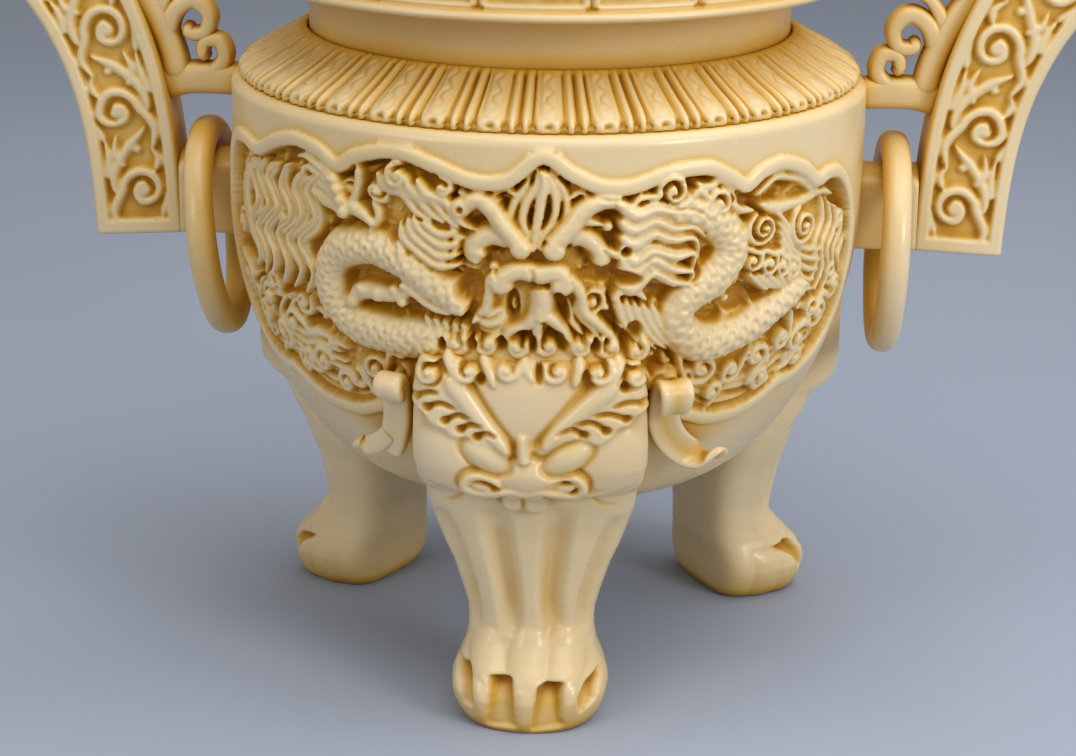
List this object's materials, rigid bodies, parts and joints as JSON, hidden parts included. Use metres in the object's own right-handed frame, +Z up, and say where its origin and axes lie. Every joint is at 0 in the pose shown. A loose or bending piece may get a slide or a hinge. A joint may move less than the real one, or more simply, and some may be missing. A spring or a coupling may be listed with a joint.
{
  "type": "covered tripod censer",
  "caption": "Covered tripod censer: bellied bowl, reeded shoulder, fretted rim, domed lid with bud finial, lion-masked paw legs and scroll handles with loose rings.",
  "frame": {"origin": "on the ground, under the bowl's axis", "axes": "+Z up, the front leg along -Y, the handles along X"},
  "size_m": [0.2356, 0.1251, 0.2047],
  "materials": {
    "carved_resin": "soft gloss, stained",
    "smooth_resin": "polished",
    "dowel": "plain"
  },
  "bodies": {
    "vessel": {"bowl": "carved_resin", "shoulder_ring": "carved_resin", "neck_ring": "smooth_resin", "leg_front": "carved_resin", "leg_peg_front": "dowel", "leg_back_left": "carved_resin", "leg_peg_back_left": "dowel", "leg_back_right": "carved_resin", "leg_peg_back_right": "dowel", "scroll_tab_front_a": "carved_resin", "scroll_tab_front_b": "carved_resin", "handle_left": "carved_resin", "handle_pin_lower_left": "dowel", "handle_pin_upper_left": "dowel", "handle_right": "carved_resin", "handle_pin_lower_right": "dowel", "handle_pin_upper_right": "dowel"},
    "cover": {"lid": "carved_resin", "finial": "carved_resin", "finial_peg": "dowel"},
    "ring_right": {"ring_right": "smooth_resin"},
    "ring_left": {"ring_left": "smooth_resin"}
  },
  "joints": [
    {"name": "lid_lift", "type": "slide", "parent": "vessel", "child": "cover", "axis": [0, 0, 1], "range_m": [0, 0.07]},
    {"name": "ring_right_swing", "type": "hinge", "parent": "vessel", "child": "ring_right", "pos_m": [0.066, 0, 0.0981], "axis": [0, 1, 0], "range_deg": [-70, 5.5]},
    {"name": "ring_left_swing", "type": "hinge", "parent": "vessel", "child": "ring_left", "pos_m": [-0.066, 0, 0.0981], "axis": [0, -1, 0], "range_deg": [-65, 0.5]}
  ]
}
